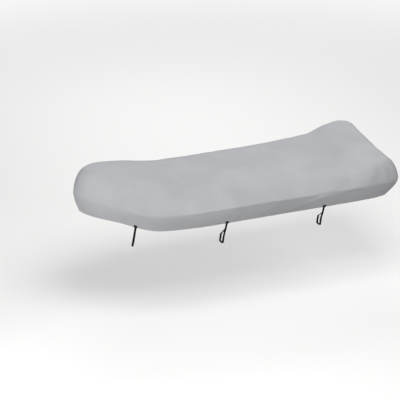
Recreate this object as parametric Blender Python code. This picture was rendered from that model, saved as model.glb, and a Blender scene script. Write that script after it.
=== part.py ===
"""Fitted cover for a small inflatable boat, as it sits on the boat and tied to a trailer's rails.

The boat and the trailer are left out, so the cover is a hollow shell: a top panel, a skirt in four
lengths under the seam, and six tie-downs, each a tab sewn to the hem and a webbing strap that ends
in a loop for the rail. Metres, +Z up, +X from bow to stern, +Y to starboard. The origin is at the
underside of the top panel, at the middle of its length.
"""

import math
from collections import namedtuple

import bpy
import numpy as np
from mathutils import Vector

# Whole cover
LENGTH = 3.88
BEAM = 1.58
CLOTH = 0.002
GAP = 0.0003

# Outline at the seam: a rounded bow, straight sides and a straight stern with round corners
BOW_LENGTH = 1.44
BOW_ALONG_POWER = 1.04
BOW_ACROSS_POWER = 1.21
STERN_CORNER = 0.21
BOW_POINTS = 600
SIDE_POINTS = 300
CORNER_POINTS = 80
STERN_POINTS = 120

# The top panel runs from the seam up and over the boat's tubes to a spine on the centre line
SPINE_START = 0.45
SPINE_LENGTH = 3.00
TUBE_ANGLE = math.radians(8)
SOFT_POWER = 2.4
ROUND_RINGS = 6
DECK_RINGS = 6
HALF_STATIONS = 68
SHARP_EDGE = math.radians(50)

# One row for each section of the boat, from the bow tip to the stern. The cover rounds inwards from
# the seam like a tube where soft is 0, and slopes up from it and levels off gently where soft is 1
Section = namedtuple("Section", "along seam crown round_in soft drop lean")
SECTIONS = (
    Section(0.00, 0.130, 0.486, 0.200, 0.0, 0.222, 0.065),
    Section(0.35, 0.070, 0.386, 0.260, 0.3, 0.192, 0.058),
    Section(0.80, -0.017, 0.268, 0.340, 0.8, 0.202, 0.055),
    Section(1.30, -0.002, 0.160, 0.400, 1.0, 0.207, 0.058),
    Section(2.00, 0.000, 0.138, 0.380, 1.0, 0.210, 0.062),
    Section(2.70, -0.010, 0.132, 0.340, 1.0, 0.200, 0.068),
    Section(3.22, -0.012, 0.130, 0.260, 0.6, 0.199, 0.070),
    Section(3.50, -0.012, 0.206, 0.200, 0.2, 0.194, 0.075),
    Section(3.88, -0.010, 0.240, 0.180, 0.1, 0.184, 0.155),
)

# Soft folds on the deck, each a straight stroke seen from above
DeckFold = namedtuple("DeckFold", "along_1 across_1 along_2 across_2 height half_width")
DECK_FOLDS = (
    DeckFold(1.60, 0.12, 1.61, -0.44, -0.007, 0.085),
    DeckFold(1.95, -0.02, 3.05, 0.20, 0.008, 0.160),
    DeckFold(3.54, 0.06, 3.56, 0.42, -0.018, 0.090),
    DeckFold(3.10, 0.42, 3.20, 0.05, -0.010, 0.100),
    DeckFold(3.67, 0.64, 3.76, 0.60, 0.016, 0.110),
    DeckFold(3.80, -0.62, 3.84, -0.20, -0.012, 0.130),
    DeckFold(0.95, 0.30, 1.45, 0.05, 0.005, 0.110),
    DeckFold(2.35, -0.20, 2.60, -0.42, 0.004, 0.100),
)

# Soft folds on the sides, each a straight stroke seen from the side, up from the seam
SideFold = namedtuple("SideFold", "side along_1 up_1 along_2 up_2 height half_width")
PORT, STARBOARD = -1, 1
SIDE_FOLDS = (
    SideFold(PORT, 2.84, 0.02, 3.46, 0.19, 0.010, 0.065),
    SideFold(PORT, 3.22, 0.02, 3.62, 0.11, -0.012, 0.080),
    SideFold(PORT, 2.62, -0.17, 2.98, -0.02, 0.006, 0.060),
    SideFold(STARBOARD, 2.95, 0.02, 3.40, 0.16, 0.008, 0.080),
    SideFold(STARBOARD, 1.70, -0.16, 2.00, -0.03, 0.006, 0.070),
)
FOLD_START_UP = 0.03
FOLD_START_DOWN = 0.05

# Skirt: where its lengths meet, and how much further aft the bow's joint is at the hem
BOW_JOINT = 1.06
BOW_JOINT_RAKE = 0.25
STERN_JOINT = 3.58
SKIRT_ROWS = 5
SKIRT_BULGE = 0.30

# Tabs and straps, one row for each tie-down of a side
Tie = namedtuple("Tie", "number along to_rail slant")
TIES = (
    Tie(1, 0.54, 0.182, 0.17),
    Tie(2, 1.63, 0.173, 0.15),
    Tie(3, 2.875, 0.152, 0.15),
)
TAB_WIDTH = 0.040
TAB_HEIGHT = 0.034
TAB_THICK = 0.003
STRAP_WIDTH = 0.025
STRAP_THICK = 0.0018
STEM_LENGTH = 0.072
STEM_INBOARD = 0.010
RAIL_INBOARD = 0.030
RAIL_WIDTH = 0.084
RAIL_HEIGHT = 0.090
RAIL_CORNER = 0.008
CORNER_STEPS = 3

# sRGB colours, with roughness
CLOTH_COLOUR = (0.722, 0.725, 0.741)
CLOTH_ROUGHNESS = 0.78
WEBBING_COLOUR = (0.060, 0.060, 0.065)
WEBBING_ROUGHNESS = 0.70


def clear_scene():
    for item in list(bpy.data.objects):
        bpy.data.objects.remove(item, do_unlink=True)


def smooth_curve(xs, ys, x):
    """Values at x on a smooth curve through the rows, with no overshoot between them."""
    steps = np.diff(ys) / np.diff(xs)
    slopes = np.zeros(len(xs))
    slopes[0], slopes[-1] = steps[0], steps[-1]
    for i in range(1, len(xs) - 1):
        if steps[i - 1] * steps[i] > 0:
            slopes[i] = 2 * steps[i - 1] * steps[i] / (steps[i - 1] + steps[i])
    i = np.clip(np.searchsorted(xs, x) - 1, 0, len(xs) - 2)
    width = xs[i + 1] - xs[i]
    t = np.clip((x - xs[i]) / width, 0, 1)
    low = ys[i] * (2 * t**3 - 3 * t**2 + 1) + width * slopes[i] * (t**3 - 2 * t**2 + t)
    high = ys[i + 1] * (3 * t**2 - 2 * t**3) + width * slopes[i + 1] * (t**3 - t**2)
    return low + high


SECTION_PLACES = np.array([row.along for row in SECTIONS])
SECTION_VALUES = {name: np.array([getattr(row, name) for row in SECTIONS]) for name in Section._fields}


def section(name, along):
    return smooth_curve(SECTION_PLACES, SECTION_VALUES[name], np.asarray(along, dtype=float))


def soft_step(t):
    t = np.clip(t, 0, 1)
    return t * t * (3 - 2 * t)


def trace_half_outline():
    """The seam line of one side, as dense points from the bow tip to the stern's centre."""
    turn = np.linspace(0, math.pi / 2, BOW_POINTS)
    half = BEAM / 2
    bow_x = BOW_LENGTH * (1 - np.cos(turn) ** BOW_ALONG_POWER)
    bow_y = half * np.sin(turn) ** BOW_ACROSS_POWER
    side_x = np.linspace(BOW_LENGTH, LENGTH - STERN_CORNER, SIDE_POINTS)[1:]
    corner = np.linspace(0, math.pi / 2, CORNER_POINTS)[1:]
    corner_x = LENGTH - STERN_CORNER + STERN_CORNER * np.sin(corner)
    corner_y = half - STERN_CORNER + STERN_CORNER * np.cos(corner)
    stern_y = np.linspace(half - STERN_CORNER, 0, STERN_POINTS)[1:]
    x = np.concatenate([bow_x, side_x, corner_x, np.full_like(stern_y, LENGTH)])
    y = np.concatenate([bow_y, np.full_like(side_x, half), corner_y, stern_y])
    arc = np.concatenate([[0], np.cumsum(np.hypot(np.diff(x), np.diff(y)))])
    return x, y, arc


OUTLINE_X, OUTLINE_Y, OUTLINE_ARC = trace_half_outline()
OUTLINE_NORMAL = np.unwrap(np.arctan2(-np.gradient(OUTLINE_X), np.gradient(OUTLINE_Y)))
HALF_LOOP = OUTLINE_ARC[-1]
STATION = HALF_LOOP / HALF_STATIONS


def arc_at(along):
    """Length of seam from the bow tip to the section at along."""
    return float(np.interp(along, OUTLINE_X[:-STERN_POINTS], OUTLINE_ARC[:-STERN_POINTS]))


def seam_place(arc):
    """Point on the seam and its side. A positive arc runs to port, past the stern's centre it comes
    back along starboard."""
    wrapped = (np.asarray(arc, dtype=float) + HALF_LOOP) % (2 * HALF_LOOP) - HALF_LOOP
    reach = np.abs(wrapped)
    side = np.where(wrapped >= 0, PORT, STARBOARD)
    x = np.interp(reach, OUTLINE_ARC, OUTLINE_X)
    y = np.interp(reach, OUTLINE_ARC, OUTLINE_Y)
    return x, side * y, side, reach


def inboard_way(arc):
    """Unit direction square to the seam, seen from above, towards the inside."""
    _, _, side, reach = seam_place(arc)
    angle = np.interp(reach, OUTLINE_ARC, OUTLINE_NORMAL)
    return np.cos(angle), side * np.sin(angle)


def spine_way(arc):
    """Unit direction from the seam to its point on the spine, and the distance."""
    x, y, _, reach = seam_place(arc)
    spine = SPINE_START + SPINE_LENGTH * reach / HALF_LOOP
    to_spine = np.hypot(spine - x, y)
    return (spine - x) / to_spine, -y / to_spine, to_spine


def stroke(x, y, x1, y1, x2, y2, half_width):
    """1 along the stroke's middle, fading to 0 over half_width around it."""
    run = np.hypot(x2 - x1, y2 - y1)
    t = np.clip(((x - x1) * (x2 - x1) + (y - y1) * (y2 - y1)) / run**2, 0, 1)
    away = np.hypot(x - x1 - t * (x2 - x1), y - y1 - t * (y2 - y1))
    return np.exp(-((away / half_width) ** 2))


def deck_height(x, y):
    """Height of the cover's deck over the seam's level amidships."""
    height = section("crown", x)
    for fold in DECK_FOLDS:
        line = stroke(x, y, fold.along_1, fold.across_1, fold.along_2, fold.across_2, fold.half_width)
        height = height + fold.height * line
    return height


def side_swell(along, up, side):
    """How far a fold pushes the side outwards, at a height up from the seam."""
    swell = np.zeros_like(np.asarray(along, dtype=float) + np.asarray(up, dtype=float))
    for fold in SIDE_FOLDS:
        line = stroke(along, up, fold.along_1, fold.up_1, fold.along_2, fold.up_2, fold.half_width)
        swell = swell + np.where(side == fold.side, fold.height * line, 0)
    return swell


def top_point(arc, inward):
    """Point of the top panel's outer face, on the line from the seam to the spine."""
    x, y, side, _ = seam_place(arc)
    in_x, in_y, _ = spine_way(arc)
    ratio = np.clip(inward / section("round_in", x), 0, 1)
    angle = np.arccos(np.clip(math.cos(TUBE_ANGLE) * (1 - ratio), 0, 1))
    tube = (np.sin(angle) - math.sin(TUBE_ANGLE)) / (1 - math.sin(TUBE_ANGLE))
    slope = 1 - (1 - ratio) ** SOFT_POWER
    rise = tube + (slope - tube) * section("soft", x)
    px = x + in_x * inward
    py = y + in_y * inward
    seam = section("seam", x)
    pz = seam + (deck_height(px, py) - seam) * rise
    push = side_swell(x, pz - seam, side) * soft_step(inward / FOLD_START_UP) * (1 - rise)
    return np.stack([px - in_x * push, py - in_y * push, pz], axis=-1)


def skirt_point(arc, fraction):
    """Point of the skirt's outer face, from the seam (0) down to the hem (1)."""
    x, y, side, _ = seam_place(arc)
    in_x, in_y = inboard_way(arc)
    drop = section("drop", x)
    lean = section("lean", x) * (SKIRT_BULGE * fraction + (1 - SKIRT_BULGE) * fraction**2)
    push = side_swell(x, -drop * fraction, side) * soft_step(drop * fraction / FOLD_START_DOWN)
    px = x + in_x * (lean - push)
    py = y + in_y * (lean - push)
    pz = section("seam", x) - GAP - (drop - GAP) * fraction
    return np.stack([px + 0 * pz, py + 0 * pz, pz], axis=-1)


MOUNT_HEIGHT = float(deck_height(np.array(LENGTH / 2), np.array(0.0))) - CLOTH
ORIGIN = np.array([LENGTH / 2, 0.0, MOUNT_HEIGHT])


def surface_normals(point, arc, other, step=0.0005):
    """Unit normals of point(arc, other), by small steps. They point out of the top panel."""
    along = point(arc + step, other) - point(arc - step, other)
    across = point(arc, other + step) - point(arc, np.maximum(other - step, 0))
    normal = np.cross(along, across)
    return normal / np.linalg.norm(normal, axis=-1, keepdims=True)


def skirt_outward(arc, fraction):
    return -surface_normals(skirt_point, np.array(arc), np.array(fraction))


def new_material(name, srgb, roughness):
    material = bpy.data.materials.new(name)
    material.use_nodes = True
    shader = material.node_tree.nodes["Principled BSDF"]
    linear = [c / 12.92 if c <= 0.04045 else ((c + 0.055) / 1.055) ** 2.4 for c in srgb]
    shader.inputs["Base Color"].default_value = (*linear, 1)
    shader.inputs["Roughness"].default_value = roughness
    shader.inputs["Metallic"].default_value = 0
    material.diffuse_color = (*linear, 1)
    return material


def new_object(name, points, faces, material, smooth_angle=None):
    mesh = bpy.data.meshes.new(name)
    mesh.from_pydata([tuple(p) for p in points], [], faces)
    mesh.materials.append(material)
    mesh.validate()
    if smooth_angle is not None:
        mesh.shade_smooth()
        mesh.set_sharp_from_angle(angle=smooth_angle)
    item = bpy.data.objects.new(name, mesh)
    bpy.context.collection.objects.link(item)
    return item


def split_quad(quad, flip=False):
    """Two triangles, always on the same diagonal, so that both faces of a sheet stay parallel."""
    a, b, c, d = quad
    return [[a, c, b], [a, d, c]] if flip else [[a, b, c], [a, c, d]]


def sheet_faces(rows, columns, closed, base=0, flip=False):
    """Triangles of a grid of rows by columns, closed round the columns if asked."""
    faces = []
    for i in range(rows - 1):
        for j in range(columns if closed else columns - 1):
            k = (j + 1) % columns
            near, far = base + i * columns, base + (i + 1) * columns
            faces += split_quad((near + j, near + k, far + k, far + j), flip)
    return faces


def level_inward(outer, arc):
    """The inner edge of a seam that is cut level, a cloth's thickness inboard."""
    in_x, in_y = inboard_way(arc)
    return outer + CLOTH * np.stack([in_x, in_y, np.zeros_like(in_x)], axis=-1)


def make_top_panel(material):
    columns = 2 * HALF_STATIONS
    arcs = np.arange(columns) * STATION
    _, _, to_spine = spine_way(arcs)
    reach = section("round_in", seam_place(arcs)[0])
    turns = np.linspace(TUBE_ANGLE, math.pi / 2, ROUND_RINGS + 1)
    rings = [reach * (1 - np.cos(turn) / math.cos(TUBE_ANGLE)) for turn in turns]
    for step in range(1, DECK_RINGS):
        rings.append(reach + (to_spine - reach) * step / DECK_RINGS)
    outer = [top_point(arcs, ring) for ring in rings]
    normals = [surface_normals(top_point, arcs, ring) for ring in rings]
    inner = [o - CLOTH * n for o, n in zip(outer, normals)]
    inner[0] = level_inward(outer[0], arcs)

    # The spine is shared by both sides, so its points are made once
    spine_arcs = np.arange(HALF_STATIONS + 1) * STATION
    spine_outer = top_point(spine_arcs, spine_way(spine_arcs)[2])
    spine_inner = spine_outer - np.array([0, 0, CLOTH])

    points = np.concatenate(outer + [spine_outer] + inner + [spine_inner]) - ORIGIN
    rows = len(rings)
    layer = rows * columns + HALF_STATIONS + 1
    faces = sheet_faces(rows, columns, True) + sheet_faces(rows, columns, True, layer, True)
    for j in range(columns):
        k = (j + 1) % columns
        near = rows * columns + min(j, columns - j)
        far = rows * columns + min(k, columns - k)
        quad = np.array([(rows - 1) * columns + j, (rows - 1) * columns + k, far, near])
        faces += split_quad(quad) + split_quad(layer + quad, True)
        faces.append([k, j, layer + j, layer + k])
    return new_object("top_panel", points, faces, material, SHARP_EDGE)


def make_skirt(name, start, end, material):
    """One length of skirt. start and end give the station of its two ends at the seam, and how far
    aft the end has moved at the hem. Its columns meet the top panel's stations at the seam."""
    columns = end[0] - start[0] + 1
    fractions = np.linspace(0, 1, SKIRT_ROWS + 1)
    outer, inner = [], []
    for fraction in fractions:
        first = start[0] * STATION + start[1] * fraction + GAP / 2
        last = end[0] * STATION + end[1] * fraction - GAP / 2
        arcs = np.linspace(first, last, columns)
        row = skirt_point(arcs, fraction)
        outer.append(row)
        if fraction == 0:
            inner.append(level_inward(row, arcs))
        else:
            inner.append(row - CLOTH * skirt_outward(arcs, fraction))
    rows = len(fractions)
    points = np.concatenate(outer + inner) - ORIGIN
    layer = rows * columns
    faces = sheet_faces(rows, columns, False, 0, True) + sheet_faces(rows, columns, False, layer)
    rim = list(range(columns))
    rim += [i * columns + columns - 1 for i in range(1, rows)]
    rim += [(rows - 1) * columns + j for j in range(columns - 2, -1, -1)]
    rim += [i * columns for i in range(rows - 2, 0, -1)]
    for a, b in zip(rim, rim[1:] + rim[:1]):
        faces.append([a, b, layer + b, layer + a])
    return new_object(name, points, faces, material, SHARP_EDGE)


def hem_frame(arc):
    """Point of the hem's outer edge, and the level directions along it and inboard."""
    point = skirt_point(np.array(arc), 1.0)
    in_x, in_y = inboard_way(arc)
    ahead = skirt_point(np.array(arc + TAB_WIDTH / 2), 1.0)
    along = ahead - skirt_point(np.array(arc - TAB_WIDTH / 2), 1.0)
    along /= np.linalg.norm(along)
    return point, along, np.array([float(in_x), float(in_y), 0.0])


def make_tab(name, arc, material):
    """A square of doubled webbing on the outside of the hem."""
    drop = float(section("drop", seam_place(arc)[0]))
    points = []
    steps = (-0.5, 0.0, 0.5)
    heights = (0.0, 0.5, 1.0)
    for lift in (GAP, GAP + TAB_THICK):
        for height in heights:
            for step in steps:
                place = arc + step * TAB_WIDTH
                fraction = 1 - height * TAB_HEIGHT / drop
                face = skirt_point(np.array(place), fraction)
                points.append(face + lift * skirt_outward(place, fraction))
    points = np.array(points) - ORIGIN
    faces = sheet_faces(3, 3, False, 0, False) + sheet_faces(3, 3, False, 9, True)
    rim = (0, 1, 2, 5, 8, 7, 6, 3)
    for a, b in zip(rim, rim[1:] + rim[:1]):
        faces.append([b, a, 9 + a, 9 + b])
    return new_object(name, points, faces, material)


def rounded_path(corners, radius, steps):
    """An open path through corners, with every inner corner turned on an arc."""
    path = [Vector(corners[0])]
    for before, corner, after in zip(corners, corners[1:], corners[2:]):
        here = Vector(corner)
        to_before = (Vector(before) - here).normalized()
        to_after = (Vector(after) - here).normalized()
        half = to_before.angle(to_after) / 2
        start = here + to_before * radius / math.tan(half)
        stop = here + to_after * radius / math.tan(half)
        middle = here + (to_before + to_after).normalized() * radius / math.sin(half)
        first = math.atan2(start.y - middle.y, start.x - middle.x)
        turn = math.remainder(math.atan2(stop.y - middle.y, stop.x - middle.x) - first, math.tau)
        for i in range(steps + 1):
            angle = first + turn * i / steps
            path.append(middle + radius * Vector((math.cos(angle), math.sin(angle))))
    path.append(Vector(corners[-1]))
    return path


def offset_path(path, distance):
    """The path moved sideways by distance, mitred at each point."""
    moved = []
    for i, point in enumerate(path):
        before = (point - path[max(i - 1, 0)]).normalized() if i else None
        after = (path[i + 1] - point).normalized() if i < len(path) - 1 else None
        ways = [w for w in (before, after) if w is not None]
        sides = [Vector((-w.y, w.x)) for w in ways]
        mitre = sum(sides, Vector((0, 0))).normalized()
        moved.append(point + mitre * distance / mitre.dot(sides[0]))
    return moved


def make_strap(name, arc, tie, material):
    """A webbing strap: a doubled stem down from the tab, then a loop for the rail. It is drawn in
    the plane across the rail (inboard, down) and given its width along the hem."""
    hem, along, inboard = hem_frame(arc)
    if along[0] < 0:
        along = -along
    outer_x = -GAP - STRAP_THICK
    fork = Vector((STEM_INBOARD, STEM_LENGTH))
    front, back = RAIL_INBOARD, RAIL_INBOARD + RAIL_WIDTH
    over, under = tie.to_rail, tie.to_rail + RAIL_HEIGHT
    corners = [fork, (front, over), (front, under), (back, under), (back, over), fork]
    path = rounded_path(corners, RAIL_CORNER, CORNER_STEPS)
    outside = offset_path(path, STRAP_THICK / 2)
    inside = offset_path(path, -STRAP_THICK / 2)
    if (outside[1] - path[1]).x > 0:
        outside, inside = inside, outside

    # The two strands part from the stem, and the gap between them starts where they clear
    stem_side = Vector((STRAP_THICK, 0))
    outside[0], outside[-1] = fork - stem_side, fork + stem_side
    to_front = (path[1] - fork).normalized()
    to_back = (path[-2] - fork).normalized()
    middle_way = (to_front + to_back).normalized()
    half = to_front.angle(to_back) / 2
    crotch = fork + middle_way * STRAP_THICK / 2 / math.sin(half)
    inside = [crotch] + inside[1:-1]
    under_tab = -(GAP + TAB_THICK) * skirt_outward(arc, 1.0)[2] + 2 * GAP
    head = Vector((outer_x, under_tab))
    stem = [head - stem_side, head + stem_side]

    flat = stem + outside + inside
    count = len(outside)
    faces = [(0, 2, 2 + count - 1, 1)]
    first_in = 2 + count
    faces.append((2, first_in, 2 + count - 1))
    for i in range(count - 1):
        a, b = 2 + i, 3 + i
        c = first_in + (i + 1) % len(inside)
        d = first_in + i
        faces.append((a, b, c, d))
    outer_rim = [0] + list(range(2, 2 + count)) + [1]
    inner_rim = list(range(first_in, first_in + len(inside)))

    points = []
    for shift in (-STRAP_WIDTH / 2, STRAP_WIDTH / 2):
        for spot in flat:
            place = hem + inboard * spot.x - np.array([0, 0, spot.y])
            points.append(place + along * (shift - tie.slant * spot.y))
    layer = len(flat)
    solid = [list(f) for f in faces] + [[layer + v for v in reversed(f)] for f in faces]
    for rim in (outer_rim, inner_rim[::-1]):
        for a, b in zip(rim, rim[1:] + rim[:1]):
            solid.append([b, a, layer + a, layer + b])
    return new_object(name, np.array(points) - ORIGIN, solid, material, SHARP_EDGE)


def face_outwards(item):
    """Turns a closed mesh whose faces point inwards."""
    mesh = item.data
    volume = 0.0
    mesh.calc_loop_triangles()
    for triangle in mesh.loop_triangles:
        a, b, c = (mesh.vertices[v].co for v in triangle.vertices)
        volume += a.dot(b.cross(c)) / 6
    if volume < 0:
        mesh.flip_normals()


def build():
    clear_scene()
    cloth = new_material("cover_cloth", CLOTH_COLOUR, CLOTH_ROUGHNESS)
    webbing = new_material("webbing", WEBBING_COLOUR, WEBBING_ROUGHNESS)
    pieces = [make_top_panel(cloth)]

    bow = round(arc_at(BOW_JOINT) / STATION)
    stern = round(arc_at(STERN_JOINT) / STATION)
    round_stern = 2 * HALF_STATIONS - stern
    pieces.append(make_skirt("skirt_bow", (-bow, -BOW_JOINT_RAKE), (bow, BOW_JOINT_RAKE), cloth))
    pieces.append(make_skirt("skirt_port", (bow, BOW_JOINT_RAKE), (stern, 0), cloth))
    pieces.append(make_skirt("skirt_stern", (stern, 0), (round_stern, 0), cloth))
    pieces.append(make_skirt("skirt_starboard", (-stern, 0), (-bow, -BOW_JOINT_RAKE), cloth))

    for side_name, sign in (("port", 1), ("starboard", -1)):
        for tie in TIES:
            arc = sign * arc_at(tie.along)
            pieces.append(make_tab(f"tab_{side_name}_{tie.number}", arc, webbing))
            pieces.append(make_strap(f"strap_{side_name}_{tie.number}", arc, tie, webbing))
    for piece in pieces:
        face_outwards(piece)


build()
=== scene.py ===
import math

import bpy
import numpy as np
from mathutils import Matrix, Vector


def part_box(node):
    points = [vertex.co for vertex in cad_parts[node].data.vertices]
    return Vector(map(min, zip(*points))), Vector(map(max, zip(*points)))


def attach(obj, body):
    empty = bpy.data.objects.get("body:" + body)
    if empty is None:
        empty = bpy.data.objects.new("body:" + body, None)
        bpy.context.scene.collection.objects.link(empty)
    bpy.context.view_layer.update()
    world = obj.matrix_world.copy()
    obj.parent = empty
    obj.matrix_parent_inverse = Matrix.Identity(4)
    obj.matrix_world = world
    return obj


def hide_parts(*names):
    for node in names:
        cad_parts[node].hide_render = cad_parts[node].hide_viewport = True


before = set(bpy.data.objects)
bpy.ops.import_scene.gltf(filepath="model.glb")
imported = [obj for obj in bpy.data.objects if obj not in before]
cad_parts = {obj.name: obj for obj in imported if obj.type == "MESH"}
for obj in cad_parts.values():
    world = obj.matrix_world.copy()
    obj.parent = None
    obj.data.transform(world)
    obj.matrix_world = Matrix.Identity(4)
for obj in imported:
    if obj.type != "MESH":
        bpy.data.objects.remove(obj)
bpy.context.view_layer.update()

panelLow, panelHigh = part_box("top_panel")
bpy.ops.object.select_all(action="DESELECT")
bpy.context.scene.view_settings.view_transform = "Standard"
print("frame loaded")


# Camera, floor and lights

cameraSetup = {
    "azimuth": math.radians(-21.95),
    "elevation": math.radians(23.95),
    "lens": 360,
    "distance": 47.49,
    "aimRight": -0.328,   # how far the aim lies from the seam's level amidships
    "aimUp": -0.241,
    "farLimit": 400,
}
floorSetup = {
    "underSeam": 1.32,       # how far the floor lies below the seam amidships
    "radius": 12.0,
    "corners": 96,
    "fade": (4.0, 11.4),     # it is gone at the second distance
    "solid": 0.75,
    "colour": "#f6f6f5",
    "roughness": 0.85,
}
boxLights = {
    "frontBox": {"place": (-0.5, -3.5, 6.5), "size": 5.0, "aim": (0, 0, 0), "watts": 420},
    "backBox": {"place": (1.5, 6.5, 4.0), "size": 5.0, "aim": (0, 0, 0), "watts": 310},
    "bowBox": {"place": (-6.0, -4.5, 1.5), "size": 4.5, "aim": (-0.5, 0, 0), "watts": 135},
    "lowBox": {"place": (-7.0, -1.0, 0.5), "size": 4.0, "aim": (-0.5, 0, 0), "watts": 125},
    "nearBox": {"place": (-1.5, -7.0, 2.2), "size": 4.5, "aim": (0, 0, 0), "watts": 125},
    "sternBox": {"place": (7.0, -1.0, 4.0), "size": 5.0, "aim": (0.5, 0, 0), "watts": 225},
}
worldSetup = {"seen": 1.0, "glow": 0.0}   # white to the camera alone, so it lights nothing


def hexColour(text):
    # sRGB hex to linear, with alpha
    parts = [int(text[i:i + 2], 16) / 255 for i in (1, 3, 5)]
    return [c / 12.92 if c <= 0.04045 else ((c + 0.055) / 1.055) ** 2.4 for c in parts] + [1]


def addNode(tree, kind, settings=None, links=None):
    node = tree.nodes.new(kind)
    for name, value in (settings or {}).items():
        if isinstance(name, int) or name in node.inputs:
            node.inputs[name].default_value = value
        else:
            setattr(node, name, value)
    for name, socket in (links or {}).items():
        tree.links.new(socket, node.inputs[name])
    return node


# The boat's shape under the cover, in metres. along runs aft from the bow tip, across runs to
# starboard, and heights start at the seam amidships.

boatShape = {
    "length": panelHigh.x - panelLow.x,
    "halfBeam": panelHigh.y,
    "bowLength": 1.44,
    "bowAlongPower": 1.04,
    "bowAcrossPower": 1.21,
    "sternCorner": 0.21,
    "spineStart": 0.45,          # the panel's two halves meet on a line along the middle
    "spineLength": 3.00,
    "tubeAngle": math.radians(8),    # slope of the sides at the seam where they round like a tube
    "softPower": 2.4,                # and how fast they level off where they are drawn softly
    "skirtBulge": 0.30,
    "jointStations": 68,         # skirt joints fall on whole shares of the half loop
    "outlinePoints": {"bow": 600, "side": 300, "corner": 80, "stern": 120},
}
sectionColumns = ("along", "seam", "crown", "roundIn", "soft", "drop", "lean")
sectionRows = (
    (0.00, 0.130, 0.486, 0.200, 0.0, 0.222, 0.065),
    (0.35, 0.070, 0.386, 0.260, 0.3, 0.192, 0.058),
    (0.80, -0.017, 0.268, 0.340, 0.8, 0.202, 0.055),
    (1.30, -0.002, 0.160, 0.400, 1.0, 0.207, 0.058),
    (2.00, 0.000, 0.138, 0.380, 1.0, 0.210, 0.062),
    (2.70, -0.010, 0.132, 0.340, 1.0, 0.200, 0.068),
    (3.22, -0.012, 0.130, 0.260, 0.6, 0.199, 0.070),
    (3.50, -0.012, 0.206, 0.200, 0.2, 0.194, 0.075),
    (3.88, -0.010, 0.240, 0.180, 0.1, 0.184, 0.155),
)
sectionTable = dict(zip(sectionColumns, np.array(sectionRows).T))

# Soft folds on the deck, as strokes: along and across at both ends, height, half width
deckFolds = (
    (1.60, 0.12, 1.61, -0.44, -0.007, 0.085),
    (1.95, -0.02, 3.05, 0.20, 0.008, 0.160),
    (3.54, 0.06, 3.56, 0.42, -0.018, 0.090),
    (3.10, 0.42, 3.20, 0.05, -0.010, 0.100),
    (3.67, 0.64, 3.76, 0.60, 0.016, 0.110),
    (3.80, -0.62, 3.84, -0.20, -0.012, 0.130),
    (0.95, 0.30, 1.45, 0.05, 0.005, 0.110),
    (2.35, -0.20, 2.60, -0.42, 0.004, 0.100),
)
# Soft folds on the sides: side, along and height over the seam at both ends, height, half width
port, starboard = -1, 1
sideFolds = (
    (port, 2.84, 0.02, 3.46, 0.19, 0.010, 0.065),
    (port, 3.22, 0.02, 3.62, 0.11, -0.012, 0.080),
    (port, 2.62, -0.17, 2.98, -0.02, 0.006, 0.060),
    (starboard, 2.95, 0.02, 3.40, 0.16, 0.008, 0.080),
    (starboard, 1.70, -0.16, 2.00, -0.03, 0.006, 0.070),
)
foldStart = {"up": 0.03, "down": 0.05}   # side folds fade in over this much either side of the seam


def smoothCurve(xs, ys, x):
    # a smooth curve through the rows, with no overshoot
    steps = np.diff(ys) / np.diff(xs)
    slopes = np.zeros(len(xs))
    slopes[0], slopes[-1] = steps[0], steps[-1]
    for i in range(1, len(xs) - 1):
        if steps[i - 1] * steps[i] > 0:
            slopes[i] = 2 * steps[i - 1] * steps[i] / (steps[i - 1] + steps[i])
    i = np.clip(np.searchsorted(xs, x) - 1, 0, len(xs) - 2)
    width = xs[i + 1] - xs[i]
    t = np.clip((x - xs[i]) / width, 0, 1)
    low = ys[i] * (2 * t**3 - 3 * t**2 + 1) + width * slopes[i] * (t**3 - 2 * t**2 + t)
    high = ys[i + 1] * (3 * t**2 - 2 * t**3) + width * slopes[i + 1] * (t**3 - t**2)
    return low + high


def shapeAt(column, along):
    return smoothCurve(sectionTable["along"], sectionTable[column], np.asarray(along, dtype=float))


def softStep(t):
    t = np.clip(t, 0, 1)
    return t * t * (3 - 2 * t)


def traceHalfOutline():
    # the seam line of one side, from the bow tip to the stern's centre
    shape = boatShape
    half, corner, count = shape["halfBeam"], shape["sternCorner"], shape["outlinePoints"]
    turn = np.linspace(0, math.pi / 2, count["bow"])
    bowX = shape["bowLength"] * (1 - np.cos(turn) ** shape["bowAlongPower"])
    bowY = half * np.sin(turn) ** shape["bowAcrossPower"]
    sideX = np.linspace(shape["bowLength"], shape["length"] - corner, count["side"])[1:]
    bend = np.linspace(0, math.pi / 2, count["corner"])[1:]
    cornerX = shape["length"] - corner + corner * np.sin(bend)
    cornerY = half - corner + corner * np.cos(bend)
    sternY = np.linspace(half - corner, 0, count["stern"])[1:]
    x = np.concatenate([bowX, sideX, cornerX, np.full_like(sternY, shape["length"])])
    y = np.concatenate([bowY, np.full_like(sideX, half), cornerY, sternY])
    arc = np.concatenate([[0], np.cumsum(np.hypot(np.diff(x), np.diff(y)))])
    return x, y, arc


outlineX, outlineY, outlineArc = traceHalfOutline()
outlineNormal = np.unwrap(np.arctan2(-np.gradient(outlineX), np.gradient(outlineY)))
halfLoop = outlineArc[-1]
station = halfLoop / boatShape["jointStations"]


def arcAt(along):
    # length of seam from the bow tip to a place along the side
    side = outlineX < boatShape["length"] - 1e-6
    return float(np.interp(along, outlineX[side], outlineArc[side]))


def seamPlace(arc):
    # point on the seam. A positive arc runs along the port side and round the stern.
    wrapped = (np.asarray(arc, dtype=float) + halfLoop) % (2 * halfLoop) - halfLoop
    reach = np.abs(wrapped)
    side = np.where(wrapped >= 0, port, starboard)
    return np.interp(reach, outlineArc, outlineX), side * np.interp(reach, outlineArc, outlineY), side, reach


def dropAt(arc):
    return shapeAt("drop", seamPlace(arc)[0])


def inboardWay(arc):
    _, _, side, reach = seamPlace(arc)
    angle = np.interp(reach, outlineArc, outlineNormal)
    return np.cos(angle), side * np.sin(angle)


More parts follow.
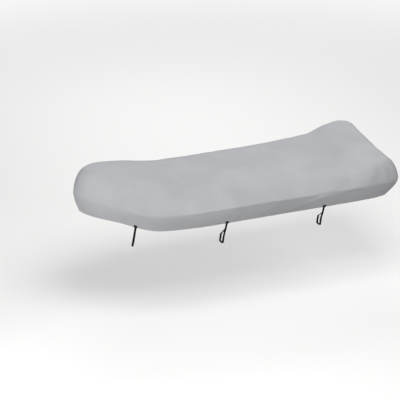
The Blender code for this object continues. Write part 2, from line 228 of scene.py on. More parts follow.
def spineWay(arc):
    # direction from the seam to its point on the middle line, and the distance
    x, y, _, reach = seamPlace(arc)
    spine = boatShape["spineStart"] + boatShape["spineLength"] * reach / halfLoop
    toSpine = np.hypot(spine - x, y)
    return (spine - x) / toSpine, -y / toSpine, toSpine


def stroke(x, y, x1, y1, x2, y2, halfWidth):
    # 1 along the middle of the stroke, fading out to its sides and ends
    run = math.hypot(x2 - x1, y2 - y1)
    t = np.clip(((x - x1) * (x2 - x1) + (y - y1) * (y2 - y1)) / run**2, 0, 1)
    away = np.hypot(x - x1 - t * (x2 - x1), y - y1 - t * (y2 - y1))
    return np.exp(-((away / halfWidth) ** 2))


def addStrokes(rows, x, y, side=None):
    # all strokes of a table. A row that starts with a side counts on that side alone.
    total = np.zeros(np.broadcast(x, y).shape)
    for row in rows:
        x1, y1, x2, y2, height, halfWidth = row[-6:]
        push = height * stroke(x, y, x1, y1, x2, y2, halfWidth)
        total = total + (push if side is None else np.where(side == row[0], push, 0))
    return total


def deckHeight(x, y):
    return shapeAt("crown", x) + addStrokes(deckFolds, x, y)


def topPoint(arc, inward):
    # point on the top panel's outer face, on the line from the seam to the middle
    x, y, side, _ = seamPlace(arc)
    inX, inY, _ = spineWay(arc)
    ratio = np.clip(inward / shapeAt("roundIn", x), 0, 1)
    start, soft = boatShape["tubeAngle"], shapeAt("soft", x)
    angle = np.arccos(np.clip(math.cos(start) * (1 - ratio), 0, 1))
    tubeRise = (np.sin(angle) - math.sin(start)) / (1 - math.sin(start))
    rise = tubeRise * (1 - soft) + (1 - (1 - ratio) ** boatShape["softPower"]) * soft
    px, py = x + inX * inward, y + inY * inward
    seam = shapeAt("seam", x)
    pz = seam + (deckHeight(px, py) - seam) * rise
    push = addStrokes(sideFolds, x, pz - seam, side) * softStep(inward / foldStart["up"]) * (1 - rise)
    return np.stack([px - inX * push, py - inY * push, pz], axis=-1)


def skirtPoint(arc, fraction):
    # point on the skirt's outer face, from the seam (0) down to the hem (1)
    x, y, side, _ = seamPlace(arc)
    inX, inY = inboardWay(arc)
    drop = shapeAt("drop", x)
    bulge = boatShape["skirtBulge"]
    lean = shapeAt("lean", x) * (bulge * fraction + (1 - bulge) * fraction**2)
    swell = addStrokes(sideFolds, x, -drop * fraction, side)
    lean = lean - swell * softStep(drop * fraction / foldStart["down"])
    return np.stack([x + inX * lean, y + inY * lean, shapeAt("seam", x) - drop * fraction], axis=-1)


cadCloth = 0.002
liftToOrigin = deckHeight(np.array(boatShape["length"] / 2), np.array(0.0)) - cadCloth
toWorld = np.array([panelLow.x, 0.0, -float(liftToOrigin)])


def unitNormals(point, arc, other, step=0.0005):
    # outward on the top panel and inward on the skirt
    along = point(arc + step, other) - point(arc - step, other)
    across = point(arc, other + step) - point(arc, np.maximum(other - step, 0))
    normal = np.cross(along, across)
    return normal / np.linalg.norm(normal, axis=-1, keepdims=True)


# Small unevenness of the cloth, laid over the main shape

creaseSetup = {
    "seed": 11,
    "dragCount": 118,        # drag lines round the sides, over the whole loop
    "dragLength": 0.16,      # up the side
    "dragHeight": 0.0026,
    "deckHill": 0.34,        # size of the deck's soft hills
    "smallHill": 0.13,       # and of the small ones on them, with their share of the height
    "smallShare": 0.4,
    "deckHeight": 0.0045,
    "deckRate": 1.6,         # how soon the side turns into the deck, and the share where it starts
    "deckFrom": 0.3,
    "skirtHills": 46,        # hills round the skirt, over the whole loop
    "skirtHill": 0.20,       # their size down the skirt
    "skirtHeight": 0.0035,
    "seamFade": 0.05,        # the skirt's hills fade in over this much under the seam
    "hemFade": 0.06,         # and out over this much above the hem, where a share is kept
    "hemShare": 0.3,
    "foldFade": 0.03,
    "starts": {"drag": 7, "deck": (3, 40), "small": (60, 80), "skirt": 20},   # places in the lattice
}
# Creases on the deck, as strokes: along and across at both ends, height, half width
deckCreases = (
    (3.30, 0.16, 3.44, 0.34, -0.007, 0.060),
    (3.52, 0.30, 3.66, 0.05, -0.006, 0.050),
    (3.36, -0.02, 3.62, -0.22, 0.005, 0.050),
    (2.86, 0.34, 3.12, 0.22, -0.006, 0.060),
    (1.60, -0.50, 1.57, -0.66, -0.006, 0.020),
    (1.50, -0.58, 1.49, -0.64, -0.006, 0.024),
    (1.22, 0.10, 1.36, -0.10, -0.006, 0.050),
    (0.52, 0.28, 0.78, 0.36, -0.006, 0.050),
    (0.50, -0.02, 0.66, -0.12, -0.004, 0.040),
    (2.20, 0.20, 2.50, 0.10, -0.005, 0.060),
)
# Creases on the panel's sides: side, along and height over the seam at both ends, height, half width
panelCreases = (
    (port, 1.38, 0.010, 1.43, 0.070, -0.0040, 0.018),
    (port, 1.47, 0.005, 1.50, 0.075, -0.0045, 0.020),
    (port, 1.56, 0.050, 1.60, 0.110, 0.0040, 0.020),
    (port, 2.93, 0.015, 3.26, 0.150, 0.0060, 0.030),
    (port, 3.05, 0.010, 3.38, 0.130, -0.0060, 0.034),
    (port, 3.46, 0.020, 3.51, 0.130, 0.0070, 0.024),
    (port, 3.56, 0.015, 3.61, 0.160, -0.0080, 0.024),
    (port, 3.65, 0.010, 3.68, 0.190, 0.0085, 0.022),
    (port, 3.73, 0.015, 3.75, 0.180, -0.0085, 0.020),
    (port, 3.80, 0.020, 3.81, 0.150, 0.0065, 0.018),
    (starboard, 3.00, 0.015, 3.30, 0.140, 0.0060, 0.030),
    (starboard, 3.58, 0.020, 3.64, 0.160, -0.0080, 0.024),
    (starboard, 3.70, 0.010, 3.72, 0.180, 0.0085, 0.022),
    (starboard, 3.78, 0.020, 3.79, 0.150, -0.0070, 0.018),
    (starboard, 1.60, 0.010, 1.66, 0.090, -0.0045, 0.020),
    (starboard, 2.84, 0.010, 2.92, 0.100, -0.0045, 0.022),
)
# Creases in the skirt: side, along and distance under the seam at both ends, height, half width.
# The first ones are the same on both sides: the pulls of the ties, and one along the bow's joint.
tiePulls = (
    (0.56, 0.190, 0.66, 0.110, 0.0042, 0.016),
    (0.52, 0.190, 0.44, 0.120, 0.0034, 0.014),
    (1.65, 0.195, 1.78, 0.110, 0.0044, 0.016),
    (1.61, 0.195, 1.50, 0.120, 0.0034, 0.014),
    (2.90, 0.190, 3.05, 0.085, 0.0044, 0.018),
    (2.85, 0.195, 2.74, 0.120, 0.0034, 0.014),
    (1.08, 0.016, 1.30, 0.190, 0.0038, 0.013),
)
skirtFolds = (
    (port, 2.40, 0.150, 2.85, 0.035, 0.0055, 0.026),
    (port, 2.02, 0.160, 2.22, 0.060, 0.0036, 0.022),
    (port, 3.55, 0.150, 3.64, 0.040, 0.0040, 0.018),
    (starboard, 2.10, 0.150, 2.46, 0.050, 0.0045, 0.024),
)
latticeSize = 128
lattice = np.random.default_rng(creaseSetup["seed"]).uniform(-1, 1, (latticeSize, latticeSize))


def softNoise(u, v, wrap=latticeSize):
    # smooth hills and dips between -1 and 1, one for each unit of u and v
    i, j = np.floor(u).astype(int), np.floor(v).astype(int)
    s, t = softStep(u - i), softStep(v - j)
    i, nextI = i % wrap, (i + 1) % wrap
    j, nextJ = j % latticeSize, (j + 1) % latticeSize
    near = lattice[i, j] * (1 - s) + lattice[nextI, j] * s
    far = lattice[i, nextJ] * (1 - s) + lattice[nextI, nextJ] * s
    return near * (1 - t) + far * t


def deckHills(point, size, start):
    return softNoise(point[..., 0] / size + start[0], point[..., 1] / size + start[1])


def topSurface(arc, inward):
    # point of the top panel's outer face, creases included. On the deck they go straight up.
    x, _, side, _ = seamPlace(arc)
    point = topPoint(arc, inward)
    normal = unitNormals(topPoint, arc, inward)
    ratio = np.clip(inward / shapeAt("roundIn", x), 0, 1)
    setup, starts = creaseSetup, creaseSetup["starts"]
    around = (arc + halfLoop) / (2 * halfLoop) * setup["dragCount"]
    onSide = np.sin(math.pi * np.sqrt(ratio)) ** 2
    onDeck = softStep(ratio * setup["deckRate"] - setup["deckFrom"])
    drag = softNoise(around, point[..., 2] / setup["dragLength"] + starts["drag"], setup["dragCount"])
    hills = deckHills(point, setup["deckHill"], starts["deck"])
    hills = hills + setup["smallShare"] * deckHills(point, setup["smallHill"], starts["small"])
    height = drag * onSide * setup["dragHeight"] + hills * onDeck * setup["deckHeight"]
    height = height + addStrokes(deckCreases, point[..., 0], point[..., 1])
    onPanelSide = softStep(inward / foldStart["up"]) * (1 - onDeck)
    height = height + addStrokes(panelCreases, x, point[..., 2] - shapeAt("seam", x), side) * onPanelSide
    way = normal * (1 - onDeck[..., None]) + np.array([0, 0, 1.0]) * onDeck[..., None]
    way /= np.linalg.norm(way, axis=-1, keepdims=True)
    return point + way * height[..., None]


print("shape ready")


# Cloth sheets

clothSetup = {
    "thick": 0.0012,
    "gap": 0.0003,
    "lap": 0.014,            # of the top panel over the skirt
    "lapStep": 0.006,        # the skirt steps in over this length to pass under the lap
    "lapClear": 0.008,
    "lapRows": (0.0, 0.004, 0.010),   # up from the lap's edge
    "columns": 640,          # round the top panel
    "panelRows": 58,
    "girthSamples": 241,
    "girthPower": 1.5,       # packs the samples towards the seam
    "mergeWithin": 0.0002,
    "skirtCell": 0.0085,
    "skirtRows": 17,         # even rows, with
    "rowsFrom": 0.024,       # the first one this far under the seam
    "rowsTo": 0.004,         # and the last one this far above the hem
    "edgeRow": 0.003,
    "hemWidth": 0.025,
    "hemStep": 0.002,
    "hemBend": 0.0014,
    "hemProud": 0.0006,
    "hemInsideRows": (0.004, 0.012, 0.022),   # up from the hem's edge
    "jointLap": 0.014,
    "jointBlend": 0.040,
    "smoothAngle": math.radians(55),
    "edgeAngle": math.radians(60),
}
layer = clothSetup["thick"] + clothSetup["gap"]


def activate(piece):
    bpy.ops.object.select_all(action="DESELECT")
    piece.select_set(True)
    bpy.context.view_layer.objects.active = piece


def editAll():
    bpy.ops.object.mode_set(mode="EDIT")
    bpy.ops.mesh.select_all(action="SELECT")


def makeSheet(name, points, cut, closed):
    # a grid of rows of points, with its places on the flat cloth (cut) as its UV map, in metres
    rows, columns = points.shape[:2]
    faces = []
    for i in range(rows - 1):
        for j in range(columns if closed else columns - 1):
            k = (j + 1) % columns
            faces.append((i * columns + j, i * columns + k, (i + 1) * columns + k, (i + 1) * columns + j))
    mesh = bpy.data.meshes.new(name)
    mesh.from_pydata(points.reshape(-1, 3).tolist(), [], faces)
    corners = np.empty(len(mesh.loops), dtype=int)
    mesh.loops.foreach_get("vertex_index", corners)
    uvMap = mesh.uv_layers.new(name="cut")
    uvMap.data.foreach_set("uv", cut.reshape(-1, 2)[corners].ravel())
    piece = bpy.data.objects.new(name, mesh)
    bpy.context.scene.collection.objects.link(piece)
    activate(piece)
    return piece


def thicken(piece, thickness, edge=0.0, offset=-1, smoothAngle=clothSetup["smoothAngle"]):
    # offset -1 puts the thickness behind the sheet, and 0 half of it on either side
    solid = piece.modifiers.new("thickness", "SOLIDIFY")
    solid.thickness = thickness
    solid.offset = offset
    solid.use_even_offset = offset != 0
    bpy.ops.object.modifier_apply(modifier=solid.name)
    if edge:
        rounding = piece.modifiers.new("edge", "BEVEL")
        rounding.width = edge
        rounding.segments = 2
        rounding.angle_limit = clothSetup["edgeAngle"]
        bpy.ops.object.modifier_apply(modifier=rounding.name)
    bpy.ops.object.shade_smooth_by_angle(angle=smoothAngle)


def placeOnBody(piece, slot, *nodes):
    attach(piece, "root")
    if nodes:
        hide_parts(*nodes)


def girthRings(arcs):
    # inward distances of the rings, evenly spread over the cloth from the seam to the middle line
    toSpine = spineWay(arcs)[2]
    share = np.linspace(0, 1, clothSetup["girthSamples"])[:, None] ** clothSetup["girthPower"]
    inward = share * toSpine
    walk = topPoint(np.broadcast_to(arcs, inward.shape), inward)
    steps = np.linalg.norm(np.diff(walk, axis=0), axis=-1)
    girth = np.concatenate([np.zeros((1, len(arcs))), np.cumsum(steps, axis=0)])
    wanted = np.linspace(0, 1, clothSetup["panelRows"] + 1)[:, None] * girth[-1]
    rings = np.stack([np.interp(wanted[:, j], girth[:, j], inward[:, j]) for j in range(len(arcs))], axis=1)
    return rings, wanted


def skirtSwell(arc, down):
    x, _, side, _ = seamPlace(arc)
    setup, toHem = creaseSetup, shapeAt("drop", x) - down
    around = (arc + halfLoop) / (2 * halfLoop) * setup["skirtHills"]
    hills = softNoise(around, down / setup["skirtHill"] + setup["starts"]["skirt"], setup["skirtHills"])
    fade = softStep(down / setup["seamFade"]) * softStep(toHem / setup["hemFade"] + setup["hemShare"])
    folds = addStrokes(tiePulls, x, down) + addStrokes(skirtFolds, x, down, side)
    return hills * setup["skirtHeight"] * fade + folds * softStep(down / setup["foldFade"])


def skirtSurface(arc, down, lift=0.0, lapOnly=False):
    # point and outward normal of the skirt's outer face, or of the top panel's lap over it
    drop = dropAt(arc)
    fraction = down / drop
    point = skirtPoint(arc, fraction)
    normal = -unitNormals(skirtPoint, arc, fraction)
    height = skirtSwell(arc, down) + lift
    if not lapOnly:
        lap, lapStep, hem = clothSetup["lap"], clothSetup["lapStep"], clothSetup["hemWidth"]
        height = height - layer * softStep((lap + lapStep - down) / lapStep)
        height = height + clothSetup["hemProud"] * softStep((down - drop + hem) / clothSetup["hemStep"])
    return point + normal * height[..., None], normal


def makeTopPanel():
    columns = clothSetup["columns"]
    arcs = (np.arange(columns) / columns * 2 - 1) * halfLoop
    rings, girth = girthRings(arcs)
    panel = topSurface(np.broadcast_to(arcs, rings.shape), rings)
    lapDown = clothSetup["lap"] - np.array(clothSetup["lapRows"])
    lapArcs = np.broadcast_to(arcs, (len(lapDown), columns))
    lapDowns = np.broadcast_to(lapDown[:, None], lapArcs.shape)
    lap, _ = skirtSurface(lapArcs, lapDowns, lapOnly=True)
    panel[-1] = (panel[-1] + panel[-1][-np.arange(columns) % columns]) / 2   # both sides meet there
    points = np.concatenate([lap, panel]) + toWorld
    inX, inY, toSpine = spineWay(arcs)
    spineX = seamPlace(arcs)[0] + inX * toSpine
    reach = np.concatenate([girth[-1] + lapDowns, girth[-1] - girth])
    cut = np.stack([spineX - inX * reach, -inY * reach], axis=-1)
    piece = makeSheet("top_panel_cloth", points, cut, True)
    editAll()
    bpy.ops.mesh.remove_doubles(threshold=clothSetup["mergeWithin"])
    bpy.ops.object.mode_set(mode="OBJECT")
    thicken(piece, clothSetup["thick"])
    placeOnBody(piece, "cover_cloth", "top_panel")
    return piece


# The four lengths of the skirt: the joint at either end as a station and its rake down to the hem,
# and whether that end laps over its neighbour
jointAlong = {"bow": 1.06, "stern": 3.58}
bowRake = 0.25
bowStation, sternStation = [round(arcAt(along) / station) for along in jointAlong.values()]
loopStations = 2 * boatShape["jointStations"]
skirtLengths = {
    "skirt_bow": {"start": (-bowStation, -bowRake), "end": (bowStation, bowRake), "over": (True, True)},
    "skirt_port": {"start": (bowStation, bowRake), "end": (sternStation, 0.0), "over": (False, True)},
    "skirt_stern": {"start": (sternStation, 0.0), "end": (loopStations - sternStation, 0.0),
                    "over": (False, False)},
    "skirt_starboard": {"start": (-sternStation, 0.0), "end": (-bowStation, -bowRake),
                        "over": (True, False)},
}


def skirtRows():
    # distances below the seam as a share of the drop and a length on top of it
    setup, lap = clothSetup, clothSetup["lap"]
    hem, bend, count = setup["hemWidth"], setup["hemBend"], setup["skirtRows"]
    first, last = setup["rowsFrom"], hem + setup["rowsTo"]
    top = [(0.0, d) for d in (0.0, lap / 2, lap, lap + setup["lapStep"])]
    middle = [(i / count, first * (1 - i / count) - last * i / count) for i in range(count + 1)]
    bottom = [(1.0, -d) for d in (hem, hem - setup["hemStep"], hem / 2, bend + setup["edgeRow"], bend)]
    return top + middle + bottom


def makeSkirt(name):
    length = skirtLengths[name]
    (startStation, startRake), (endStation, endRake) = length["start"], length["end"]
    columns = round((endStation - startStation) * station / clothSetup["skirtCell"])
    lapOver = [clothSetup["jointLap"] * over for over in length["over"]]
    arcRows, downRows = [], []
    for share, extra in skirtRows():
        middle = np.linspace(startStation, endStation, columns + 1) * station
        fraction = share + extra / dropAt(middle)
        first = startStation * station + startRake * fraction[0] - lapOver[0]
        last = endStation * station + endRake * fraction[-1] + lapOver[1]
        arcs = np.linspace(first, last, columns + 1)
        arcRows.append(arcs)
        downRows.append(share * dropAt(arcs) + extra)
    arcs, downs = np.array(arcRows), np.array(downRows)
    lift = np.zeros_like(arcs)
    bend = np.full((columns + 1, 1), clothSetup["hemBend"])
    underTop = softStep((clothSetup["lap"] + clothSetup["lapClear"] - downs) / clothSetup["lapStep"])
    for over, away in zip(length["over"], (arcs - arcs[:, :1], arcs[:, -1:] - arcs)):
        near = softStep(1 - (away - clothSetup["jointLap"]) / clothSetup["jointBlend"])
        lift = lift + near * (layer * (1 - underTop) if over else -layer * underTop)
        bend = bend + near[-1][:, None] * layer * over   # the lapping hem goes round the other one
    outer, normal = skirtSurface(arcs, downs, lift)

    # the cloth turns inwards at the hem and runs back up inside
    foot, way, inner = outer[-1], normal[-1], clothSetup["hemInsideRows"]
    downWay = outer[-1] - outer[-2]
    downWay /= np.linalg.norm(downWay, axis=-1, keepdims=True)
    centre = foot - way * bend
    turns = [math.pi / 4 * i for i in (1, 2, 3, 4)]
    fold = [centre + way * bend * math.cos(turn) + downWay * bend * math.sin(turn) for turn in turns]
    inside = [foot - way * 2 * bend - downWay * up for up in inner]
    points = np.concatenate([outer, fold, inside]) + toWorld
    foldDowns = [downs[-1] + bend[:, 0] * turn for turn in turns]
    insideDowns = [foldDowns[-1] + up for up in inner]
    allDowns = np.array([*downs, *foldDowns, *insideDowns])
    allArcs = np.array([*arcs, *[arcs[-1]] * (len(turns) + len(inner))])
    cut = np.stack([allArcs, -allDowns], axis=-1)
    piece = makeSheet(name + "_cloth", points[::-1], cut[::-1], False)
    thicken(piece, clothSetup["thick"])
    placeOnBody(piece, "cover_cloth", name)
    return piece


# Webbing tabs on the hem and the straps that hang from them

tieSetup = {
    "rows": ((0.54, 0.182, 0.17), (1.63, 0.173, 0.15), (2.875, 0.152, 0.15)),   # along, drop to rail, slant
    "tabWidth": 0.040,
    "tabHeight": 0.034,
    "tabThick": 0.0026,
    "tabGrid": (9, 8),       # points along the hem and up
    "tabEdge": 0.0007,
    "webWidth": 0.025,
    "webThick": 0.0016,
    "webApart": 0.0018,      # middle to middle of the stem's two layers
    "cadWebThick": 0.0018,
    "cadTabLift": 0.0033,
    "stemInboard": 0.010,
    "stemLength": 0.072,
    "railInboard": 0.030,
    "railWidth": 0.084,
    "railHeight": 0.090,
    "bend": 0.008,
    "forkBend": 0.012,
    "bendPoints": 7,
    "spacing": 0.006,
    "webColumns": 5,
    "webEdge": 0.0005,
    "webSmoothAngle": math.radians(50),
}


def makeTab(name, side, along):
    setup = tieSetup
    arc = -side * arcAt(along)
    drop = float(shapeAt("drop", along))
    arcs = arc + np.linspace(-0.5, 0.5, setup["tabGrid"][0]) * setup["tabWidth"]
    downs = drop - np.linspace(0, setup["tabHeight"], setup["tabGrid"][1])
    arcs, downs = np.meshgrid(arcs, downs)
    points, _ = skirtSurface(arcs, downs, clothSetup["gap"] + setup["tabThick"])
    cut = np.stack([arcs - arc, drop - downs], axis=-1)
    piece = makeSheet(name + "_webbing", points + toWorld, cut, False)
    thicken(piece, setup["tabThick"], setup["tabEdge"])
    placeOnBody(piece, "webbing", name)
    return piece


def roundedPath(corners, bends):
    # an open path through the corners, with an arc at each inner one
    path = [Vector(corners[0])]
    for before, here, after, bend in zip(corners, corners[1:], corners[2:], bends):
        here = Vector(here)
        back, ahead = (Vector(before) - here).normalized(), (Vector(after) - here).normalized()
        half = back.angle(ahead) / 2
        start, stop = here + back * bend / math.tan(half), here + ahead * bend / math.tan(half)
        centre = here + (back + ahead).normalized() * bend / math.sin(half)
        first = math.atan2(start.y - centre.y, start.x - centre.x)
        turn = math.remainder(math.atan2(stop.y - centre.y, stop.x - centre.x) - first, math.tau)
        angles = np.linspace(first, first + turn, tieSetup["bendPoints"])
        path += [centre + bend * Vector((math.cos(angle), math.sin(angle))) for angle in angles]
    return np.array([tuple(p) for p in path + [Vector(corners[-1])]])


def evenly(path, spacing):
    # the path with even points between its own, and how far along it each lies
    steps = np.linalg.norm(np.diff(path, axis=0), axis=1)
    walk = np.concatenate([[0], np.cumsum(steps)])
    spots = np.linspace(0, walk[-1], max(2, round(walk[-1] / spacing)) + 1)
    spots = spots[np.abs(spots[:, None] - walk).min(axis=1) > spacing / 4]   # not beside the path's own
    places = np.union1d(spots, walk)
    return np.stack([np.interp(places, walk, path[:, i]) for i in range(path.shape[1])], axis=1), places


def strapPlace(arc, spot, shift, slant):
    # a spot is a distance inboard of the hem and one below it, and the shift runs along the hem
    hem, half = skirtPoint(np.array(arc), 1.0), tieSetup["tabWidth"] / 2
    along = skirtPoint(np.array(arc + half), 1.0) - skirtPoint(np.array(arc - half), 1.0)
    along = along / np.linalg.norm(along) * (1 if along[0] > 0 else -1)
    inX, inY = inboardWay(arc)
    inboard = np.array([float(inX), float(inY), 0.0])
    across = (shift - slant * spot[..., 1])[..., None] * along
    return hem + spot[..., :1] * inboard - spot[..., 1:] * np.array([0, 0, 1.0]) + across


def strapPath(arc, toRail):
    # from the top of the stem's outer layer round the loop to the top of its inner layer
    setup = tieSetup
    outward = -unitNormals(skirtPoint, np.array(arc), np.array(1.0))
    headDown = -setup["cadTabLift"] * outward[2] + 2 * clothSetup["gap"]
    head = Vector((-clothSetup["gap"] - setup["cadWebThick"], headDown))
    fork = Vector((setup["stemInboard"], setup["stemLength"]))
    aside = (fork - head).normalized()
    aside = Vector((-aside.y, aside.x)) * setup["webApart"] / 2
    if aside.x > 0:
        aside = -aside
    front, back = setup["railInboard"], setup["railInboard"] + setup["railWidth"]
    over, under = toRail, toRail + setup["railHeight"]
    corners = [head + aside, fork + aside, (front, over), (front, under), (back, under), (back, over),
               fork - aside, head - aside]
    bend = setup["bend"]
    return roundedPath(corners, (setup["forkBend"], bend, bend, bend, bend, setup["forkBend"]))


def makeStrap(name, side, along, toRail, slant):
    setup = tieSetup
    arc = -side * arcAt(along)
    path, walk = evenly(strapPath(arc, toRail), setup["spacing"])
    shifts = np.linspace(-0.5, 0.5, setup["webColumns"]) * setup["webWidth"]
    if side == starboard:
        shifts = -shifts
    spots = np.repeat(path[:, None, :], len(shifts), axis=1)
    wideShifts = np.broadcast_to(shifts, spots.shape[:2])
    points = strapPlace(arc, spots, wideShifts, slant) + toWorld
    cut = np.stack([wideShifts, np.repeat(walk[:, None], len(shifts), axis=1)], axis=-1)
    piece = makeSheet(name + "_webbing", points, cut, False)
    thicken(piece, setup["webThick"], setup["webEdge"], 0, setup["webSmoothAngle"])
    editAll()
    bpy.ops.mesh.normals_make_consistent(inside=False)
    bpy.ops.object.mode_set(mode="OBJECT")
    placeOnBody(piece, "webbing", name)
    return piece


# Stitching: one stitch is modelled and repeated along curves

stitchSetup = {
    "pitch": 0.0080,         # real ones are 4 mm; drawn longer so that they show
    "length": 0.0062,
    "width": 0.0012,
    "height": 0.0009,
    "segments": 6,
    "rings": 4,
    "proud": 0.0002,
    "seamRows": (0.004, 0.0105),   # below the seam, in the panel's lap
    "seamPoints": 1300,
    "hemRow": 0.021,         # above the hem's edge
    "hemSpacing": 0.012,
    "lapEnd": 0.004,         # it ends this far short of a lapping edge,
    "underEnd": 0.016,       # and this far from the joint on the length beneath
    "jointRows": (0.003, 0.010),   # back from the lapping edge
    "jointShare": (0.09, 0.985, 40),   # from and to, as shares of the drop, and points
    "tackPitch": 0.0040,     # the ties' stitches are finer
    "tackWidth": 0.0009,
    "boxInset": 0.0035,
    "boxShare": (0.04, 0.96, 8),
    "tackDowns": (0.008, 0.012, 0.060, 0.064),   # below the hem, down the stem
    "tackShare": (-0.42, 0.42, 6),
    "tackProud": 0.0001,
}


def stitchAlong(points, pitch, width):
    # one row of stitches on an open line of points. A finer pitch has shorter, lower stitches.
    curve = bpy.data.curves.new("stitchLine", "CURVE")
    curve.dimensions = "3D"
    spline = curve.splines.new("POLY")
    spline.points.add(len(points) - 1)
    spline.points.foreach_set("co", np.concatenate([points, np.ones((len(points), 1))], axis=1).ravel())
    line = bpy.data.objects.new("stitchLine", curve)
    bpy.context.scene.collection.objects.link(line)
    bpy.ops.object.select_all(action="DESELECT")
    share = pitch / stitchSetup["pitch"]
    length, height = stitchSetup["length"] * share, stitchSetup["height"] * share
    bpy.ops.mesh.primitive_uv_sphere_add(segments=stitchSetup["segments"], ring_count=stitchSetup["rings"],
                                         radius=0.5)
    editAll()
    bpy.ops.transform.rotate(value=math.pi / 2, orient_axis="Y", center_override=(0, 0, 0))
    bpy.ops.transform.resize(value=(length, width, height))
    bpy.ops.transform.translate(value=(length / 2, 0, 0))
    bpy.ops.object.mode_set(mode="OBJECT")
    stitch = bpy.context.active_object
    repeat = stitch.modifiers.new("repeat", "ARRAY")
    repeat.fit_type = "FIT_CURVE"
    repeat.curve = line
    repeat.use_relative_offset = False
    repeat.use_constant_offset = True
    repeat.constant_offset_displace = (pitch, 0, 0)
    bpy.ops.object.modifier_apply(modifier=repeat.name)
    follow = stitch.modifiers.new("follow", "CURVE")
    follow.object = line
    bpy.ops.object.modifier_apply(modifier=follow.name)
    bpy.data.objects.remove(line, do_unlink=True)
    bpy.data.curves.remove(curve)
    return stitch


def makeStitches(name, slot, lines, pitch=stitchSetup["pitch"], width=stitchSetup["width"]):
    rows = [stitchAlong(line, pitch, width) for line in lines]
    activate(rows[0])
    for row in rows[1:]:
        row.select_set(True)
    if len(rows) > 1:
        bpy.ops.object.join()
    piece = bpy.context.active_object
    piece.name = name
    bpy.ops.object.shade_smooth()
    placeOnBody(piece, slot)
    return piece


def seamLines():
    arcs = np.linspace(-halfLoop, halfLoop, stitchSetup["seamPoints"])
    return [skirtSurface(arcs, np.full_like(arcs, down), stitchSetup["proud"], lapOnly=True)[0] + toWorld
            for down in stitchSetup["seamRows"]]


def skirtLines(name):
    # the hem's row, and the rows that hold a lapping end down
    length, jointLap = skirtLengths[name], clothSetup["jointLap"]
    joints = list(zip(length["over"], (length["start"], length["end"]), (-1, 1)))
    ends = []
    for over, (at, rake), outward in joints:
        past = jointLap - stitchSetup["lapEnd"] if over else -stitchSetup["underEnd"]
        fraction = float(1 - stitchSetup["hemRow"] / dropAt(at * station))
        ends.append(at * station + rake * fraction + outward * past)
    first, last = ends
    arcs = np.linspace(first, last, round((last - first) / stitchSetup["hemSpacing"]))
    lift = np.full_like(arcs, stitchSetup["proud"])
    for over, away in zip(length["over"], (arcs - first, last - arcs)):
        lift = lift + softStep(1 - (away - jointLap) / clothSetup["jointBlend"]) * layer * over
    lines = [skirtSurface(arcs, dropAt(arcs) - stitchSetup["hemRow"], lift)[0] + toWorld]
    share = np.linspace(*stitchSetup["jointShare"])
    for over, (at, rake), outward in joints:
        for back in stitchSetup["jointRows"] if over else ():
            arcs = at * station + rake * share + outward * (jointLap - back)
            line, _ = skirtSurface(arcs, share * dropAt(arcs), layer + stitchSetup["proud"])
            lines.append(line + toWorld)
    return lines


def tabLines(side, along):
    # a box with a cross in it
    setup = tieSetup
    arc = -side * arcAt(along)
    drop, inset = float(shapeAt("drop", along)), stitchSetup["boxInset"]
    wide, low, high = setup["tabWidth"] / 2 - inset, drop - inset, drop - setup["tabHeight"] + inset
    corners = ((-wide, low), (wide, low), (wide, high), (-wide, high))
    lift = clothSetup["gap"] + setup["tabThick"] + stitchSetup["proud"] / 2
    share = np.linspace(*stitchSetup["boxShare"])
    lines = []
    for i, j in ((0, 1), (1, 2), (2, 3), (3, 0), (0, 2), (1, 3)):
        arcs = arc + corners[i][0] + (corners[j][0] - corners[i][0]) * share
        downs = corners[i][1] + (corners[j][1] - corners[i][1]) * share
        lines.append(skirtSurface(arcs, downs, lift)[0] + toWorld)
    return lines


def strapLines(side, along, toRail, slant):
    # bar tacks across the stem, at its top and above the fork
    setup = tieSetup
    arc = -side * arcAt(along)
    path = strapPath(arc, toRail)
    stem = path[:np.argmax(path[:, 1] > setup["stemLength"]) + 1]   # the outer layer, down to the fork
    shifts = np.linspace(*stitchSetup["tackShare"]) * setup["webWidth"]
    proud = setup["webThick"] / 2 + stitchSetup["tackProud"]
    lines = []
    for down in stitchSetup["tackDowns"]:
        spot = np.array([np.interp(down, stem[:, 1], stem[:, 0]) - proud, down])
        spots = np.broadcast_to(spot, (len(shifts), 2))
        lines.append(strapPlace(arc, spots, shifts, slant) + toWorld)
    return lines


# Materials

clothLook = {
    "light": "#aeafb3", "dark": "#a4a5a8",
    "roughness": (0.70, 0.84),
    "threadPitch": 0.0030,   # threads are 0.45 mm apart; drawn coarser so that they show
    # raised threads and slubs painted lighter and the weave's hollows darker: partly the yarn's own
    # unevenness, partly painted shade that follows the bump
    "slubsAndWeaveShade": (0.94, 1.04),
    "slubLength": 0.09,
    "slubsPerMetre": 900,
    "patchSize": 0.55,
    "patchRange": (0.36, 0.64),   # the part of the noise that runs from dark to light
    "weaveHeight": 0.00012,
    "weaveStrength": 0.6,
    "surface": {"Sheen Weight": 0.15, "Sheen Roughness": 0.5, "Specular IOR Level": 0.35},
}
webbingLook = {
    # the ribs' crests are painted light, a painted highlight, and the hollows keep the yarn's own black
    "dark": "#060607", "light": "#101012",
    "ribPitch": 0.0028,      # webbing's own ribs
    "yarnPitch": 0.00196,
    "ribHeight": 0.0002,
    "ribStrength": 0.7,
    "ridgeHighlightPatchScale": 60.0,
    "surface": {"Roughness": 0.66, "Specular IOR Level": 0.15},
}
threadLook = {
    "grey": "#b4b5b9", "black": "#2a2a2e",
    "twistPitch": 0.0012,
    "twistHollowShade": 0.82,       # painted shade in the hollows between the strands, as a share of the colour
    "twistHeight": 0.0001,
    "twistStrength": 0.5,
    "surface": {"Roughness": 0.5},
}


def newMaterial(name):
    material = bpy.data.materials.new(name)
    material.use_nodes = True
    tree = material.node_tree
    return material, tree, tree.nodes["Principled BSDF"]


def finishSurface(tree, surface, values, patterns):
    # what is the same all over sits on the shader's own socket, and a pattern is linked to it
    for name, value in values.items():
        surface.inputs[name].default_value = value
    for name, socket in patterns.items():
        tree.links.new(socket, surface.inputs[name])


